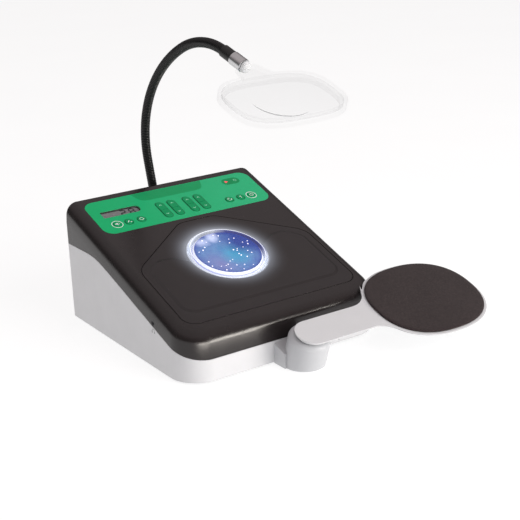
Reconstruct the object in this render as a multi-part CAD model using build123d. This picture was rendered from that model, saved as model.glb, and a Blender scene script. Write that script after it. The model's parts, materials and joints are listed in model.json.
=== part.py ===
from build123d import *
import math
import os

os.makedirs("parts", exist_ok=True)

# ---------------------------------------------------------------- driving dimensions (mm)
case_w = 253.0            # overall width of the housing

front_y = -131.3          # front face of the housing
rear_y = 129.0            # rear face of the housing
slope = 18.8              # slope of the work deck, degrees
deck_z = 96.6             # height of the deck plane at mid depth
cover_depth = 22.8        # depth of the top cover, square to the deck
cover_wall = 3.0
cover_draft = 1.8         # how far the cover sides lean in
edge_r = 14.0             # rounding of the deck's side and front edges
rear_edge_r = 4.8         # rounding of the deck's rear edge and the cover's rear corners
front_r = 33.0            # plan radius of the front corners
shell_rear_r = 5.0        # plan radius of the rear corners (base shell)
shell_wall = 3.0
shell_z = 2.2             # underside of the base shell
seam_gap = 0.5            # shadow gap between cover and base shell
plate_z = 2.5             # underside of the steel base plate
plate_t = 2.0
foot_r = 9.0
panel_x = 111.0           # half width of the control panel
panel_v0, panel_v1 = 57.4, 122.7
panel_r = 13.0
key_r = 4.65              # radius of a key cap
key_hole = 5.0
key_travel = 0.6
pad_travel = 0.8
dish_u, dish_v = -2.5, -21.5    # centre of the dish seat on the deck
lid_r = 45.0              # radius of the dish lid (90 mm dish)
hose_r = 5.5              # gooseneck radius
ball_gap = 0.3            # clearance between two gooseneck sections
arm_t = 4.0               # thickness of the wrist-rest arm
pin_r = 5.0               # wrist-rest pivot pin
pin_clear = 0.05
lens_a, lens_b = 68.4, 46.8     # half width and half depth of the magnifier
# plan centre of the whole object's bounding box in the housing's own axes
shift_x, shift_y = 50.584, -31.587

S, C, T = (f(math.radians(slope)) for f in (math.sin, math.cos, math.tan))
deck = Plane(origin=(0, 0, deck_z), x_dir=(1, 0, 0), z_dir=(0, -S, C))
hw = case_w / 2

made = {}


def save(name, part, plane=None):
    if plane is not None:
        part = plane.location * part
    part = Location((-shift_x, -shift_y, 0)) * part
    made[name] = part
    solids = part.solids()
    shape = solids[0] if len(solids) == 1 else Compound(children=list(solids))
    shape.label = name
    export_step(shape, f"parts/{name}.step")


def rpoly(pts, rs, z=0.0):
    """Flat face from a polygon with rounded corners, at height z."""
    n = len(pts)
    if not isinstance(rs, (list, tuple)):
        rs = [rs] * n
    ends = []
    for i in range(n):
        p, a, b = Vector(*pts[i]), Vector(*pts[i - 1]), Vector(*pts[(i + 1) % n])
        u, w = (a - p).normalized(), (b - p).normalized()
        ang = math.acos(max(-1, min(1, u.dot(w))))
        if rs[i] <= 0:
            ends.append((p, None, p))
            continue
        t = rs[i] / math.tan(ang / 2)
        bis = (u + w).normalized()
        c = p + bis * (rs[i] / math.sin(ang / 2))
        ends.append((p + u * t, c - bis * rs[i], p + w * t))
    edges = []
    for i in range(n):
        s, m, e = ends[i]
        if m is not None:
            edges.append(ThreePointArc((s.X, s.Y), (m.X, m.Y), (e.X, e.Y)))
        nx = ends[(i + 1) % n][0]
        if (nx - e).length > 1e-6:
            edges.append(Line((e.X, e.Y), (nx.X, nx.Y)))
    f = make_face(Curve() + edges)
    return Location((0, 0, z)) * f


def rect_pts(x0, y0, x1, y1):
    return [(x0, y0), (x1, y0), (x1, y1), (x0, y1)]


def inset(pts, d):
    """Polygon (counter-clockwise) moved inwards by d on every side."""
    out, n = [], len(pts)
    for i in range(n):
        p, a, b = pts[i], pts[i - 1], pts[(i + 1) % n]
        def line(q, r):
            dx, dy = r[0] - q[0], r[1] - q[1]
            l = math.hypot(dx, dy)
            nx, ny = -dy / l, dx / l
            return (q[0] + nx * d, q[1] + ny * d), (dx / l, dy / l)
        (p1, d1), (p2, d2) = line(a, p), line(p, b)
        det = d1[0] * (-d2[1]) + d2[0] * d1[1]
        rx, ry = p2[0] - p1[0], p2[1] - p1[1]
        t = (rx * (-d2[1]) + d2[0] * ry) / det
        out.append((p1[0] + d1[0] * t, p1[1] + d1[1] * t))
    return out


def slab(face, z0, z1):
    return extrude(Location((0, 0, z0)) * face, amount=z1 - z0)


def rbox(x0, y0, x1, y1, z0, z1, r):
    return slab(rpoly(rect_pts(x0, y0, x1, y1), r), z0, z1)


def box(x0, y0, z0, x1, y1, z1):
    return Location(((x0 + x1) / 2, (y0 + y1) / 2, (z0 + z1) / 2)) * Box(x1 - x0, y1 - y0, z1 - z0)


def cyl(x, y, z0, z1, r):
    return Location((x, y, (z0 + z1) / 2)) * Cylinder(r, z1 - z0)


def tube(x, y, z0, z1, r1, r0):
    return cyl(x, y, z0, z1, r1) - cyl(x, y, z0 - 1, z1 + 1, r0)


def stadium(x0, v0, x1, v1, r):
    """Rounded slot outline whose end centres are (x0, v0) and (x1, v1)."""
    dx, dv = x1 - x0, v1 - v0
    l = math.hypot(dx, dv)
    a = math.degrees(math.atan2(dv, dx))
    return Location(((x0 + x1) / 2, (v0 + v1) / 2, 0), (0, 0, a)) * SlotCenterToCenter(l, 2 * r)


def superellipse(a, b, e, n=36):
    pts = []
    for i in range(n):
        t = 2 * math.pi * i / n
        c, s = math.cos(t), math.sin(t)
        pts.append((a * math.copysign(abs(c) ** (2 / e), c), b * math.copysign(abs(s) ** (2 / e), s)))
    return make_face(Spline(*pts, periodic=True))


def ycyl(x, z, y0, y1, r):
    return Location((x, (y0 + y1) / 2, z), (90, 0, 0)) * Cylinder(r, y1 - y0)


def xcyl(y, z, x0, x1, r):
    return Location(((x0 + x1) / 2, y, z), (0, 90, 0)) * Cylinder(r, x1 - x0)


# ---------------------------------------------------------------- housing
def side_profile(pts):
    """Prism across the whole width from a (y, z) outline."""
    f = make_face(Polyline(*[(y, z) for y, z in pts], close=True))
    pl = Plane(origin=(-140, 0, 0), x_dir=(0, 1, 0), z_dir=(1, 0, 0))
    return pl.location * extrude(f, amount=280)


def seam(y):
    """Height of the joint between cover and base shell, falling a little faster towards the front."""
    dip = 1.2 * min(max(-y, 0), 82) / 82 + 0.25 * max(-y - 82, 0) / 52
    return deck_z - cover_depth / C + T * y - dip


seam_front = [(-134, seam(-134)), (-82, seam(-82)), (0, seam(0)), (30, seam(30))]
seam_rear = [(40.0, seam(40.0) - 0.2), (50, 88.9), (61, 91.2), (75, 92.3), (131, 91.8)]

cap_depth = cover_depth - 1.0               # drafted part of the cover; below it the wall is upright
front_v0 = (front_y - cap_depth * S) / C    # deck coordinates of the drafted part's lower edge
rear_v0 = (rear_y - cap_depth * S) / C
front_v1, rear_v1 = -137.0, rear_y / C


def soft_top(solid, r_side, r_rear):
    """Rounds the top edge at the sides and front, then the rear face's edges."""
    top = solid.faces().sort_by(Axis.Z)[-1]
    rear_edge = top.edges().sort_by(Axis.Y)[-1]
    solid = fillet([e for e in top.edges() if (e.center() - rear_edge.center()).length > 1], r_side)
    if r_rear:
        rear_face = solid.faces().sort_by(Axis.Y)[-1]
        low = rear_face.edges().sort_by(Axis.Z)[0]
        solid = fillet([e for e in rear_face.edges() if (e.center() - low.center()).length > 0.5], r_rear)
    return solid


ob = rpoly(rect_pts(-hw, front_v0, hw, rear_v0), [front_r, front_r, 0, 0], -cap_depth)
ot = rpoly(rect_pts(-hw + cover_draft, front_v1, hw - cover_draft, rear_v1), [31, 31, 0, 0], 0)
outer = soft_top(loft([ob.face(), ot.face()], ruled=True), edge_r, rear_edge_r)
k = cover_wall / cap_depth
ib = rpoly(rect_pts(-hw + 3, front_v0 + 3, hw - 3, rear_v0 - 3), [30, 30, 0, 0], -cap_depth)
it = rpoly(rect_pts(-hw + cover_draft * (1 - k) + 3.1, front_v1 - (front_v1 - front_v0) * k + 3.1,
                    hw - cover_draft * (1 - k) - 3.1, rear_v1 - (rear_v1 - rear_v0) * k - 3.0), [28, 28, 0, 0], -cover_wall)
inner = soft_top(loft([ib.face(), it.face()], ruled=True), edge_r - 3.0, 0)
cover = outer - inner

wall_ring = outer.faces().sort_by(Axis.Z)[0] - inner.faces().sort_by(Axis.Z)[0]
skirt = extrude(deck.location * wall_ring, amount=70, dir=(0, 0, -1))
skirt &= side_profile(seam_front + seam_rear + [(131, 150), (-134, 150)])
cover_w = deck.location * cover + skirt

# openings in the deck
panel_out = rpoly(rect_pts(-panel_x, panel_v0, panel_x, panel_v1), panel_r)
round_keys = {
    "key_sound": (-90.3, 73), "key_marker": (-75.3, 73), "key_average": (-59.4, 73),
    "key_memory": (59.4, 73), "key_reset": (75.3, 73), "key_power": (90.3, 73),
}
rockers = {"a": -25.5, "b": -10.3, "c": 10.3, "d": 25.5}
end_lo, end_hi = 70.0, 91.5
lcd_out = rpoly(rect_pts(-98.5, 88.5, -50, 101.5), [2.0, 6.0, 6.0, 2.0])
pill = stadium(77.5, 108.5, 88.5, 108.5, 6.3)
pad_pts = [(-110, -116.5), (110, -116.5), (110, -13.1), (23.2, 50.7), (-23.2, 50.7), (-110, -13.1)]
pad_rs = [15, 15, 24, 22, 22, 24]
aperture = rpoly(inset(pad_pts, -0.45), [r + 0.45 for r in pad_rs])

cuts = [slab(rpoly(inset(rect_pts(-panel_x, panel_v0, panel_x, panel_v1), -0.15), panel_r + 0.15), -1.0, 3)]
cuts += [cyl(x, v, -6, 3, key_hole) for x, v in round_keys.values()]
cuts += [slab(stadium(x, end_lo, x, end_hi, key_hole), -6, 3) for x in rockers.values()]
cuts += [slab(rpoly(inset(rect_pts(-98.5, 88.5, -50, 101.5), -0.1), [2.1, 6.1, 6.1, 2.1]), -6, 3)]
cuts += [slab(stadium(77.5, 108.5, 88.5, 108.5, 6.4), -6, 3), slab(aperture, -8, 6)]
bosses = [(sx * 113.6, v) for sx in (-1, 1) for v in (-92, -34)] + [(sx * 84, 30) for sx in (-1, 1)]
board_bosses = [(-40, 64), (40, 64), (-40, 112), (68, 112)]
cover_w -= deck.location * Compound(children=[c.solid() for c in cuts])
add = [cyl(x, v, -8, -2.5, 2.9) for x, v in bosses] + [cyl(x, v, -6.4, -2.5, 2.9) for x, v in board_bosses]
cut2 = [cyl(x, v, -9, -3.6, 1.25) for x, v in bosses] + [cyl(x, v, -7, -3.6, 1.0) for x, v in board_bosses]
for a in add:
    cover_w += deck.location * a
jack_y, jack_z = -66.5, 52.8
cover_w -= deck.location * Compound(children=[c.solid() for c in cut2])
cover_w -= xcyl(jack_y, jack_z, -135, -122.1, 3.1)
cover_w -= box(-124.2, jack_y - 5, jack_z - 5, -108, jack_y + 5, jack_z + 4.6)
save("top_cover", cover_w)

shell_out = slab(rpoly(rect_pts(-hw, front_y, hw, rear_y), [front_r, front_r, shell_rear_r, shell_rear_r]), shell_z, 125)
shell_in = slab(rpoly(rect_pts(-hw + 3, front_y + 3, hw - 3, rear_y - 3), [30, 30, 2, 2]), 0, 126)
low = [(y, z - seam_gap) for y, z in seam_rear]
shell = (shell_out - shell_in) & side_profile([(-134, 0)] + [(y, z - seam_gap) for y, z in seam_front] + low + [(131, 0)])
corner = [(sx * 112.4, front_y + 14.1) for sx in (-1, 1)] + [(sx * 119.4, 121.9) for sx in (-1, 1)]
for x, y in corner:
    shell += cyl(x, y, plate_z + plate_t + 0.02, 24, 4.6) & slab(
        rpoly(rect_pts(-hw + 1, front_y + 1, hw - 1, rear_y - 1), [32, 32, 4, 4]), 0, 60)
for x, y in corner:
    shell -= cyl(x, y, 0, 20, 1.5)
gx = 0.0
for x in (-15, 15):
    for z in (58, 80):
        shell -= ycyl(x, z, 120, 135, 2.1)
for x in (-9, 18):
    shell -= ycyl(x, 13, -135, -120, 2.6)
shell -= ycyl(52, 38, 120, 135, 5.6)
shell -= box(80.4, 120, 36.2, 99.6, 135, 47.8)
shell -= xcyl(jack_y, jack_z, -135, -112, 3.1)
save("base_shell", shell)

plate = slab(rpoly(inset(rect_pts(-hw, front_y, hw, rear_y), 3.25), [29.7, 29.7, 3.0, 3.0]), plate_z, plate_z + plate_t)
posts = [(-62, 24), (62, 24), (-62, 104), (62, 104)]
for x, y in posts:
    plate += cyl(x, y, plate_z + plate_t - 0.5, 12, 3.0)
    plate -= cyl(x, y, 6, 13, 1.25)
feet = [(sx * 98, y) for sx in (-1, 1) for y in (-96, 104)]
for x, y in corner:
    plate -= cyl(x, y, 0, 10, 1.7)
for x, y in feet:
    plate -= cyl(x, y, 0, 10, 3.0)
save("base_plate", plate)

foot_parts = []
for x, y in feet:
    f = cyl(x, y, 0, plate_z, foot_r) + cyl(x, y, plate_z - 0.2, plate_z + plate_t, 2.95) \
        + cyl(x, y, plate_z + plate_t, plate_z + plate_t + 1.4, 3.8)
    f = chamfer(f.edges().group_by(Axis.Z)[0], 0.6)
    foot_parts.append(f.solid())
save("rubber_feet", Compound(children=foot_parts))

scr = []
for x, y in corner:
    scr.append((cyl(x, y, plate_z - 1.6, plate_z, 2.8) + cyl(x, y, plate_z - 0.1, 18, 1.45)
                - cyl(x, y, plate_z - 2, plate_z - 0.9, 1.2)).solid())
save("housing_screws", Compound(children=scr))

# ---------------------------------------------------------------- control panel
panel = slab(panel_out, -1.0, 0.1)
for x, v in round_keys.values():
    panel -= cyl(x, v, -2, 2, key_hole + 0.02)
for x in rockers.values():
    panel -= slab(stadium(x, end_lo, x, end_hi, key_hole + 0.02), -2, 2)
panel -= slab(rpoly(inset(rect_pts(-98.5, 88.5, -50, 101.5), -0.1), [2.1, 6.1, 6.1, 2.1]), -2, 2)
panel -= slab(stadium(77.5, 108.5, 88.5, 108.5, 6.4), -2, 2)
save("control_panel", panel, deck)
save("display_window", slab(lcd_out, -2.6, 0.12), deck)
save("display_module", rbox(-101, 86, -47.5, 104.5, -8.2, -3.1, 1.0)
     + box(-94, 84.2, -8.2, -55, 106.5, -7.2), deck)
save("indicator_lens", slab(pill, -3.0, 0.14) + slab(stadium(77.5, 108.5, 88.5, 108.5, 7.2), -3.9, -3.0), deck)

for name, (x, v) in round_keys.items():
    key = cyl(x, v, -4.3, 0.75, key_r) + cyl(x, v, -4.3, -3.25, key_r + 1.1)
    key = chamfer(key.edges().group_by(Axis.Z)[-1], 0.35)
    save(name, key, deck)
mid = (end_lo + end_hi) / 2
for tag, x in rockers.items():
    full = slab(stadium(x, end_lo, x, end_hi, key_r), -4.3, 0.75)
    full = chamfer(full.edges().group_by(Axis.Z)[-1], 0.35)
    full += slab(stadium(x, end_lo, x, end_hi, key_r + 1.1), -4.3, -3.25)
    save(f"key_{tag}_down", full & box(x - 8, end_lo - 9, -9, x + 8, mid - 0.3, 4), deck)
    save(f"key_{tag}_up", full & box(x - 8, mid + 0.3, -9, x + 8, end_hi + 9, 4), deck)

board = rbox(-104, 62, 104, 118, -8.0, -6.4, 4)
board -= box(-102.5, 83.0, -9, -45, 120, -5)
for x, v in board_bosses:
    board -= cyl(x, v, -9, -5, 1.1)
board += box(10, 98, -10.2, 34, 106, -7.9)
save("keypad_board", board, deck)
domes = [cyl(x, v, -6.4, -5.0, 3.0) for x, v in round_keys.values()]
domes += [cyl(x, v, -6.4, -5.0, 3.0) for x in rockers.values() for v in (end_lo + 2, end_hi - 2)]
domes = [chamfer(d.edges().group_by(Axis.Z)[-1], 0.5).solid() for d in domes]
save("dome_switches", Compound(children=domes), deck)
bs = [(cyl(x, v, -9.6, -8.0, 1.9) + cyl(x, v, -8.1, -4.0, 0.97)).solid() for x, v in board_bosses]

# ---------------------------------------------------------------- pressure pad, stage and light
pad = slab(rpoly(inset(pad_pts, 0.35), [r - 0.35 for r in pad_rs]), -3.0, 0.0)
rest_pts = [(-102, -101), (102, -101), (102, -22), (85, -4), (64, -5.5), (44, -20), (-44, -20), (-64, -5.5), (-85, -4), (-102, -22)]
rest_rs = [16, 16, 14, 14, 16, 8, 8, 16, 14, 14]
r0 = rpoly(rest_pts, rest_rs, -0.2)
r1 = rpoly(inset(rest_pts, 3.6), [13, 13, 11, 11, 18, 8, 8, 18, 11, 11], 1.2)
pad += loft([r0.face(), r1.face()], ruled=True)
cup = Location((dish_u, dish_v, 0))
ring_in = lid_r + 0.7
pad -= cup * cyl(0, 0, -20, 6, ring_in + 1.9)
pad += cup * tube(0, 0, -13.5, -2.9, ring_in + 4.0, ring_in + 1.9)
pad += cup * tube(0, 0, -13.5, -12.1, ring_in + 3.0, 41.0)
save("pressure_pad", pad, deck)
save("stage_diffuser", cup * cyl(0, 0, -12.1, -11.0, ring_in + 1.75), deck)
save("light_ring", cup * tube(0, 0, -11.0, 0.35, ring_in + 1.75, ring_in), deck)

frame_pts = [(-116.4, -126), (116.4, -126), (116.4, -10), (92, 42), (-92, 42), (-116.4, -10)]
chassis = slab(rpoly(frame_pts, [24, 24, 12, 8, 8, 12]), -9.5, -8.0)
chassis -= cup * cyl(0, 0, -12, -5, 53)
chassis -= box(-60, -118, -12, 60, -92, -5)
posts2 = [(dish_u + 57 * math.cos(math.radians(a)), dish_v + 57 * math.sin(math.radians(a))) for a in (45, 135, 225, 315)]
for x, v in posts2:
    chassis += cyl(x, v, -22.4, -9.0, 3.0)
for x, v in bosses:
    chassis -= cyl(x, v, -12, -5, 1.4)
save("chassis_plate", chassis, deck)
cs = [(cyl(x, v, -11.2, -9.5, 2.6) + cyl(x, v, -9.6, -4.2, 1.22)).solid() for x, v in bosses]
cush = [cyl(x, v, -8.0, -3.05, 6.0).solid() for x, v in ((-92, -100), (92, -100), (-92, -20), (92, -20))]
save("pad_cushions", Compound(children=cush), deck)
save("force_sensor", box(-98, -66, -8.0, -70, -54, -5.2) + cyl(-74.5, -60, -5.3, -4.0, 3.2), deck)
led = cup * cyl(0, 0, -24.0, -22.4, 61)
for a in range(0, 360, 30):
    led += cup * (Location((36 * math.cos(math.radians(a)), 36 * math.sin(math.radians(a)), -21.9)) * Box(5, 5, 1.2))
for a in range(0, 360, 60):
    led += cup * (Location((17 * math.cos(math.radians(a)), 17 * math.sin(math.radians(a)), -21.9)) * Box(5, 5, 1.2))
save("led_board", led, deck)

# ---------------------------------------------------------------- 90 mm dish
# the dish lies upside down, as it does for counting: lid below, base with its agar above
base = cyl(0, 0, -9.6, 3.5, 43.3) - cyl(0, 0, -10.5, 2.3, 42.1) + tube(0, 0, 3.4, 4.1, 39.6, 38.4)
save("dish_base", cup * base, deck)
lid = cup * (cyl(0, 0, -10.95, 2.0, lid_r) - cyl(0, 0, -9.75, 3, 43.8))
save("dish_lid", lid, deck)
save("agar_layer", cup * cyl(0, 0, -4.5, 1.6, 42.08), deck)

# ---------------------------------------------------------------- electronics in the base
mb = box(-68, 18, 12, 68, 110, 13.6)
for x, y in posts:
    mb -= cyl(x, y, 10, 15, 1.4)
for b in ((-40, 40, -14, 66, 2.2), (4, 36, 30, 58, 4.0), (-50, 76, -30, 98, 9.0), (40, 74, 58, 100, 12.0), (-6, 84, 22, 98, 3.0)):
    mb += box(b[0], b[1], 13.5, b[2], b[3], 13.6 + b[4])
save("main_board", mb)
ms = [(cyl(x, y, 13.6, 15.4, 2.6) + cyl(x, y, 7, 13.7, 1.2)).solid() for x, y in posts]
inner_screws = [x.solid() for x in ms] + [(deck.location * x).solid() for x in bs + cs]
save("inner_screws", Compound(children=inner_screws))
save("buzzer", cyl(-6, 30, 13.6, 22.6, 6.2) - cyl(-6, 30, 21.6, 24, 1.4))
jack = xcyl(jack_y, jack_z, -126.2, -108.5, 3.0) + box(-122.0, jack_y - 4.4, jack_z - 4.0, -108.5, jack_y + 4.4, jack_z + 4.0)
jack -= xcyl(jack_y, jack_z, -130, -110.2, 1.8)
save("headphone_jack", jack)
dc = ycyl(52, 38, 117, 129.6, 5.5) + ycyl(52, 38, 129.0, 130.6, 7.2) + ycyl(52, 38, 122, 125.9, 7.6)
dc -= ycyl(52, 38, 119, 132, 2.8)
dc += ycyl(52, 38, 118, 128.6, 1.0)
save("power_inlet", dc)
bez = box(77.6, 129.0, 34.2, 102.4, 130.4, 49.8) + box(80.6, 116, 36.4, 99.4, 129.2, 47.6)
bez -= box(81.5, 119.6, 36.6 - 0.3, 98.5, 135, 47.4 + 0.3)
bez -= box(81.5, 128, 36.3, 98.5, 135, 47.7)
save("switch_housing", bez)
rk = xcyl(125.4, 42, 81.9, 98.1, 5.3)
for sgn in (1, -1):
    rk -= Location((90, 125.4, 42)) * (Location((0, 0, 0), (sgn * 9, 0, 0)) * box(-20, 5.0, -9, 20, 12, 9))
rk = Location((90, 125.4, 42)) * (Location((0, 0, 0), (8, 0, 0)) * (Location((-90, -125.4, -42)) * rk))
save("power_rocker", rk)

# ---------------------------------------------------------------- gooseneck: arcs in one upright plane
head_deg = 10.5
gd = Vector(math.sin(math.radians(head_deg)), -math.cos(math.radians(head_deg)), 0)
g0 = Vector(0, 147.0, 0)
gs, gz, gphi = 4.274, 110.0, math.radians(-12.0375)
lengths = [56.148, 54.324, 57.677, 58.0, 43.491, 26.349]
curv = [0.000746, 0.008121, 0.007563, 0.006932, 0.011795, 0.0136]
tip_len = 34.0


def at(s, z):
    return g0 + gd * s + Vector(0, 0, z)


def along(phi):
    return gd * math.sin(phi) + Vector(0, 0, math.cos(phi))


joints = [(gs, gz, gphi)]
arcs = []
for L, K in zip(lengths, curv):
    s, z, phi = joints[-1]
    def step(q, s=s, z=z, phi=phi, K=K):
        return (s + (math.cos(phi) - math.cos(phi + K * q)) / K, z + (math.sin(phi + K * q) - math.sin(phi)) / K, phi + K * q)
    arcs.append(step)
    joints.append(step(L))
hose_joints = [at(j[0], j[1]) for j in joints]
side = gd.cross(Vector(0, 0, 1)).normalized()
print("gooseneck radii", [round(1 / K, 1) for K in curv])


def section(i, q0, q1, r):
    """Round bar along arc i from distance q0 to q1."""
    a, m, b = (arcs[i](q) for q in (q0, (q0 + q1) / 2, q1))
    path = ThreePointArc(at(a[0], a[1]), at(m[0], m[1]), at(b[0], b[1]))
    pl = Plane(origin=at(a[0], a[1]), z_dir=along(a[2]))
    return sweep(pl * Circle(r), path=path)


def cyl_at(p, d, a, b, r):
    pl = Plane(origin=p + d * a, z_dir=d)
    return pl.location * (Location((0, 0, (b - a) / 2)) * Cylinder(r, b - a))


names = ["hose_section_1", "hose_section_2", "hose_section_3", "hose_section_4", "hose_section_5", "hose_section_6"]
for i, name in enumerate(names):
    j = joints[i]
    p, d = at(j[0], j[1]), along(j[2])
    if i == 0:
        body = section(i, 6.0, lengths[i], hose_r)
        body += cyl_at(p, d, -21, 1.0, 6.0) + cyl_at(p, d, 0.3, 8.0, 8.0)
    else:
        body = section(i, 3.0, lengths[i], hose_r) - Location(tuple(p)) * Sphere(hose_r + ball_gap)
    if i < 5:
        e = joints[i + 1]
        body += Location(tuple(at(e[0], e[1]))) * Sphere(hose_r)
    else:
        e = joints[6]
        body += cyl_at(at(e[0], e[1]), along(e[2]), -0.01, 15.9, hose_r)
    save(name, body)
e = joints[6]
pe, de = at(e[0], e[1]), along(e[2])
save("hose_sleeve", cyl_at(pe, de, 0, 16.0, 7.1) - cyl_at(pe, de, -1, 17, hose_r + 0.02))
fer = cyl_at(pe, de, 16.0, tip_len, 7.7)
fer = chamfer(fer.edges().filter_by(GeomType.CIRCLE), 0.6) - cyl_at(pe, de, 21.0, tip_len + 1, 3.55)
save("lens_ferrule", fer)
tip = pe + de * tip_len

p0, d0 = at(gs, gz), along(gphi)
sock = cyl_at(p0, d0, -27, 0.0, 9.2)
sock = chamfer(sock.edges().filter_by(GeomType.CIRCLE), 0.8)
sock += (slab(rpoly(rect_pts(-8.0, 130, 8.0, 142), 0), 66, 94) & side_profile([(128, 60), (133, 60), (145, 80), (145, 96), (128, 96)]))
sock -= box(-40, 100, 0, 40, 129.7, 140)
sock += slab(rpoly(rect_pts(-22, 51, 22, 88), 5), 0, 4).moved(Location((0, 0, 0), (90, 0, 0))).moved(Location((0, 133.0, 0)))
for x in (-15, 15):
    for z in (58, 80):
        sock -= ycyl(x, z, 120, 140, 2.1)
sock -= cyl_at(p0, d0, -22, 2, 6.05)
save("gooseneck_socket", sock)
gsn = [(ycyl(x, z, 122, 133.2, 2.0) + ycyl(x, z, 133.0, 135.6, 3.6) - ycyl(x, z, 134.4, 137, 1.5)).solid() for x in (-15, 15) for z in (58, 80)]
save("socket_screws", Compound(children=gsn))

# ---------------------------------------------------------------- magnifier
hc = Vector(34.6, -83.7, 269.8)
head = Plane(origin=hc, x_dir=(1, 0, 0), z_dir=(0, -S, C))
et = head.to_local_coords(tip)
dl = head.to_local_coords(hc + de)
ux, uv = dl.X, dl.Y
print("tip in head axes", et, "axis", dl)
out = superellipse(lens_a, lens_b, 3.1)
mid_o = superellipse(lens_a - 3.5, lens_b - 3.5, 3.1)
led_o = superellipse(lens_a - 7.0, lens_b - 7.0, 3.1)
frame = slab(out, -7.0, 3.0)
tabf = make_face(Polyline((et.X - 12.5 + ux * 0.6, et.Y + uv * 0.6 + 2.2), (et.X + 12.5 + ux * 0.6, et.Y + uv * 0.6 - 2.2 + 2.0),
                          (22, 40), (-20, 40), close=True))
tab = slab(tabf, -3.0, 3.0)
tab -= head.location.inverse() * cyl_at(tip, de, -30, 0.4, 14)
frame += tab
frame += head.location.inverse() * cyl_at(tip, de, -11.5, 8, 3.5)
frame -= slab(mid_o, -3.0, 4.0)
frame -= slab(led_o, -8.0, -2.0)
save("magnifier_frame", frame, head)
lens = slab(superellipse(lens_a - 3.7, lens_b - 3.7, 3.1), -3.0, 6.0) & (Location((0, 0, 4.6 - 620)) * Sphere(620))
save("magnifier_lens", lens, head)

# ---------------------------------------------------------------- wrist rest
ax0 = Vector(4.56, -150.4, 1.0)
N = Vector(0, -S, C)
arm_top = 44.3
ao = ax0 + N * arm_top
arm = Plane(origin=ao, x_dir=(1, 0, 0), z_dir=(0, -S, C))
tower = cyl(0, 0, -arm_top - 12, -arm_t - 1.6, 22.56)
tower = fillet(tower.edges().group_by(Axis.Z)[-1], 6.5)
tower = arm.location * tower
tower &= box(-60, -200, 1.0, 60, -110, 80)
blk = slab(rpoly(rect_pts(-20.0, -151, 29.1, front_y), 0), 1.0, 60)
blk &= side_profile([(-160, 0), (front_y + 0.1, 0), (front_y + 0.1, 24.0), (-160, 24.0 - T * (160 + front_y))])
br = tower + blk
br -= box(-60, front_y, 0, 60, -90, 90)
br -= arm.location * cyl(0, 0, -31, 0, 7.0)
for x in (-9, 18):
    br -= ycyl(x, 13, -141, -120, 2.45)
save("pivot_bracket", br)
bsw = [(ycyl(x, 13, -140, -125.9, 2.4) + ycyl(x, 13, -126, -122, 4.3) - ycyl(x, 13, -123.8, -120, 2.0)).solid() for x in (-9, 18)]
save("bracket_screws", Compound(children=bsw))
save("pivot_bush", tube(0, 0, -30.5, -arm_t - 1.6, 7.0, pin_r + pin_clear), arm)
pin = cyl(0, 0, -29.5, -arm_t, pin_r) + cyl(0, 0, -arm_t - 1.3, -arm_t, 13.0)
save("pivot_pin", pin, arm)

disc_u, disc_v = 152.4, -2.2
disc_a, disc_b, disc_e, blend_r = 70.7, 60.0, 2.35, 26.0
strip_v0, strip_v1 = -21.9, 15.8


def disc_pt(t):
    c, s = math.cos(t), math.sin(t)
    return (disc_u + disc_a * math.copysign(abs(c) ** (2 / disc_e), c), disc_v + disc_b * math.copysign(abs(s) ** (2 / disc_e), s))


def disc_normal(t):
    x, y = disc_pt(t)
    x, y = x - disc_u, y - disc_v
    nx = math.copysign(abs(x / disc_a) ** (disc_e - 1) / disc_a, x)
    ny = math.copysign(abs(y / disc_b) ** (disc_e - 1) / disc_b, y)
    l = math.hypot(nx, ny)
    return nx / l, ny / l


def blend_at(edge_v, sgn):
    """Parameter on the disc where a circle of blend_r touches both it and the strip's edge."""
    lo, hi = math.pi / 2 + 0.02, math.pi - 0.01
    f = lambda t: sgn * (disc_pt(sgn * t)[1] + blend_r * disc_normal(sgn * t)[1] - edge_v) - blend_r
    for _ in range(60):
        m = (lo + hi) / 2
        lo, hi = (m, hi) if f(m) > 0 else (lo, m)
    t = sgn * (lo + hi) / 2
    p, n = disc_pt(t), disc_normal(t)
    c = (p[0] + blend_r * n[0], p[1] + blend_r * n[1])
    q = (c[0], edge_v)
    mx, my = (p[0] + q[0]) / 2 - c[0], (p[1] + q[1]) / 2 - c[1]
    l = math.hypot(mx, my)
    return t, p, (c[0] + blend_r * mx / l, c[1] + blend_r * my / l), q


tr, pr, mr, qr = blend_at(strip_v1, 1)
tf, pf, mf, qf = blend_at(strip_v0, -1)
cu, cr_ = -0.5, (strip_v1 - strip_v0) / 2
cv = (strip_v1 + strip_v0) / 2
ring = [disc_pt(tf + (tr - tf) * i / 30) for i in range(31)]


def tang(t):
    n = disc_normal(t)
    return (-n[1], n[0])


plan = make_face(Curve() + [
    ThreePointArc((cu, strip_v1), (cu - cr_, cv), (cu, strip_v0)),
    Line((cu, strip_v0), qf), ThreePointArc(qf, mf, pf),
    Spline(*ring, tangents=[tang(tf), tang(tr)]),
    ThreePointArc(pr, mr, qr), Line(qr, (cu, strip_v1))])
print("strip meets disc", qr, pr, qf, pf)
armp = slab(plan, -1.5, 0)
under = slab(superellipse(disc_a - 3.2, disc_b - 3.2, disc_e), -arm_t, -1.5)
armp += Location((disc_u, disc_v, 0)) * under
armp += box(cu, strip_v0 + 2.2, -arm_t, disc_u - 20, strip_v1 - 2.2, -1.5) + cyl(cu, cv, -arm_t, -1.5, cr_ - 2.2)
rib = slab(rpoly([(25.5, -17.6), (58, -17.6), (66, -10), (66, 6), (58, 13.0), (25.5, 13.0)], 0), -8.5, -arm_t)
armp += rib
save("arm_plate", armp, arm)
wp = slab(superellipse(67.7, 57.3, 2.35), 0, 3.2)
wp = Location((disc_u, disc_v, 0)) * wp
save("wrist_pad", wp, arm)

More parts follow.
